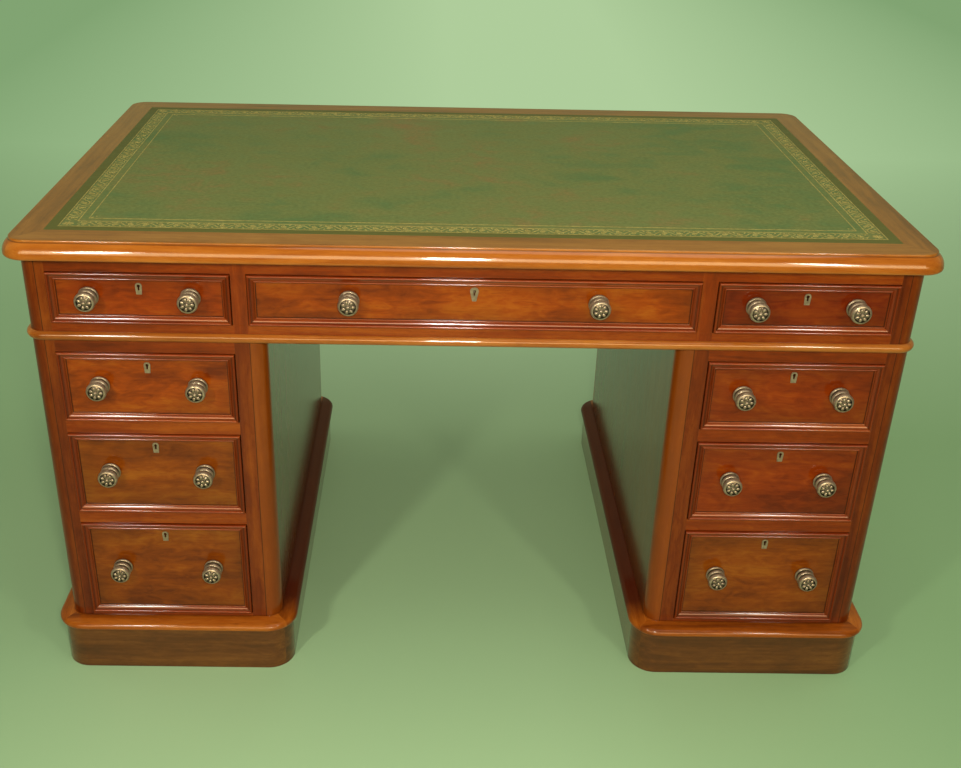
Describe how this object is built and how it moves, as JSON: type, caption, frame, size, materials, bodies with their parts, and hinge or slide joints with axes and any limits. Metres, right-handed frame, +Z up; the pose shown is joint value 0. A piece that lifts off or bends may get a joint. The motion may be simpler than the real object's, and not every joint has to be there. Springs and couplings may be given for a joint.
{
  "type": "pedestal desk",
  "caption": "Free-standing writing desk: a frieze of drawers under a leather-lined top, on drawer pedestals with moulded plinths and an open kneehole; all drawers slide and lock.",
  "frame": {"origin": "on the floor, in the middle of the overall plan", "axes": "+X along the desk to the right as seen from the front, +Y to the back, +Z up"},
  "size_m": [1.378, 0.8486, 0.77],
  "materials": {
    "mahogany_top": "french polished",
    "mahogany_carcase": "french polished",
    "mahogany_fronts": "french polished",
    "mahogany_plinth": "french polished",
    "green_leather": "waxed, gilt tooled",
    "drawer_lining": "bare oak",
    "softwood": "bare pine",
    "aged_brass": "aged, cast",
    "lock_brass": "brushed"
  },
  "bodies": {
    "desk": {"top_board": "mahogany_top", "leather_skiver": "green_leather", "corner_posts": "mahogany_carcase", "frieze_ends": "mahogany_carcase", "frieze_back": "mahogany_carcase", "frieze_rails": "mahogany_carcase", "frieze_bead": "mahogany_carcase", "pedestal_sides": "mahogany_carcase", "pedestal_backs": "mahogany_carcase", "pedestal_rails": "mahogany_carcase", "carcase_boards": "softwood", "drawer_runners": "softwood", "plinth_boards": "mahogany_plinth", "plinth_mouldings": "mahogany_plinth", "locating_blocks": "softwood"},
    "left_frieze_drawer": {"left_frieze_front": "mahogany_fronts", "left_frieze_box": "drawer_lining", "left_frieze_knobs": "aged_brass", "left_frieze_lock": "lock_brass"},
    "left_frieze_lock_bolt": {"left_frieze_bolt": "lock_brass"},
    "left_top_drawer": {"left_top_front": "mahogany_fronts", "left_top_box": "drawer_lining", "left_top_knobs": "aged_brass", "left_top_lock": "lock_brass"},
    "left_top_lock_bolt": {"left_top_bolt": "lock_brass"},
    "left_middle_drawer": {"left_middle_front": "mahogany_fronts", "left_middle_box": "drawer_lining", "left_middle_knobs": "aged_brass", "left_middle_lock": "lock_brass"},
    "left_middle_lock_bolt": {"left_middle_bolt": "lock_brass"},
    "left_bottom_drawer": {"left_bottom_front": "mahogany_fronts", "left_bottom_box": "drawer_lining", "left_bottom_knobs": "aged_brass", "left_bottom_lock": "lock_brass"},
    "left_bottom_lock_bolt": {"left_bottom_bolt": "lock_brass"},
    "right_frieze_drawer": {"right_frieze_front": "mahogany_fronts", "right_frieze_box": "drawer_lining", "right_frieze_knobs": "aged_brass", "right_frieze_lock": "lock_brass"},
    "right_frieze_lock_bolt": {"right_frieze_bolt": "lock_brass"},
    "right_top_drawer": {"right_top_front": "mahogany_fronts", "right_top_box": "drawer_lining", "right_top_knobs": "aged_brass", "right_top_lock": "lock_brass"},
    "right_top_lock_bolt": {"right_top_bolt": "lock_brass"},
    "right_middle_drawer": {"right_middle_front": "mahogany_fronts", "right_middle_box": "drawer_lining", "right_middle_knobs": "aged_brass", "right_middle_lock": "lock_brass"},
    "right_middle_lock_bolt": {"right_middle_bolt": "lock_brass"},
    "right_bottom_drawer": {"right_bottom_front": "mahogany_fronts", "right_bottom_box": "drawer_lining", "right_bottom_knobs": "aged_brass", "right_bottom_lock": "lock_brass"},
    "right_bottom_lock_bolt": {"right_bottom_bolt": "lock_brass"},
    "centre_frieze_drawer": {"centre_frieze_front": "mahogany_fronts", "centre_frieze_box": "drawer_lining", "centre_frieze_knobs": "aged_brass", "centre_frieze_lock": "lock_brass"},
    "centre_frieze_lock_bolt": {"centre_frieze_bolt": "lock_brass"}
  },
  "joints": [
    {"name": "left_frieze_drawer_slide", "type": "slide", "parent": "desk", "child": "left_frieze_drawer", "axis": [0, -1, 0], "range_m": [0, 0.45]},
    {"name": "left_frieze_bolt_throw", "type": "slide", "parent": "left_frieze_drawer", "child": "left_frieze_lock_bolt", "axis": [0, 0, 1], "range_m": [0, 0.007]},
    {"name": "left_top_drawer_slide", "type": "slide", "parent": "desk", "child": "left_top_drawer", "axis": [0, -1, 0], "range_m": [0, 0.45]},
    {"name": "left_top_bolt_throw", "type": "slide", "parent": "left_top_drawer", "child": "left_top_lock_bolt", "axis": [0, 0, 1], "range_m": [0, 0.007]},
    {"name": "left_middle_drawer_slide", "type": "slide", "parent": "desk", "child": "left_middle_drawer", "axis": [0, -1, 0], "range_m": [0, 0.45]},
    {"name": "left_middle_bolt_throw", "type": "slide", "parent": "left_middle_drawer", "child": "left_middle_lock_bolt", "axis": [0, 0, 1], "range_m": [0, 0.007]},
    {"name": "left_bottom_drawer_slide", "type": "slide", "parent": "desk", "child": "left_bottom_drawer", "axis": [0, -1, 0], "range_m": [0, 0.45]},
    {"name": "left_bottom_bolt_throw", "type": "slide", "parent": "left_bottom_drawer", "child": "left_bottom_lock_bolt", "axis": [0, 0, 1], "range_m": [0, 0.007]},
    {"name": "right_frieze_drawer_slide", "type": "slide", "parent": "desk", "child": "right_frieze_drawer", "axis": [0, -1, 0], "range_m": [0, 0.45]},
    {"name": "right_frieze_bolt_throw", "type": "slide", "parent": "right_frieze_drawer", "child": "right_frieze_lock_bolt", "axis": [0, 0, 1], "range_m": [0, 0.007]},
    {"name": "right_top_drawer_slide", "type": "slide", "parent": "desk", "child": "right_top_drawer", "axis": [0, -1, 0], "range_m": [0, 0.45]},
    {"name": "right_top_bolt_throw", "type": "slide", "parent": "right_top_drawer", "child": "right_top_lock_bolt", "axis": [0, 0, 1], "range_m": [0, 0.007]},
    {"name": "right_middle_drawer_slide", "type": "slide", "parent": "desk", "child": "right_middle_drawer", "axis": [0, -1, 0], "range_m": [0, 0.45]},
    {"name": "right_middle_bolt_throw", "type": "slide", "parent": "right_middle_drawer", "child": "right_middle_lock_bolt", "axis": [0, 0, 1], "range_m": [0, 0.007]},
    {"name": "right_bottom_drawer_slide", "type": "slide", "parent": "desk", "child": "right_bottom_drawer", "axis": [0, -1, 0], "range_m": [0, 0.45]},
    {"name": "right_bottom_bolt_throw", "type": "slide", "parent": "right_bottom_drawer", "child": "right_bottom_lock_bolt", "axis": [0, 0, 1], "range_m": [0, 0.007]},
    {"name": "centre_frieze_drawer_slide", "type": "slide", "parent": "desk", "child": "centre_frieze_drawer", "axis": [0, -1, 0], "range_m": [0, 0.45]},
    {"name": "centre_frieze_bolt_throw", "type": "slide", "parent": "centre_frieze_drawer", "child": "centre_frieze_lock_bolt", "axis": [0, 0, 1], "range_m": [0, 0.007]}
  ]
}
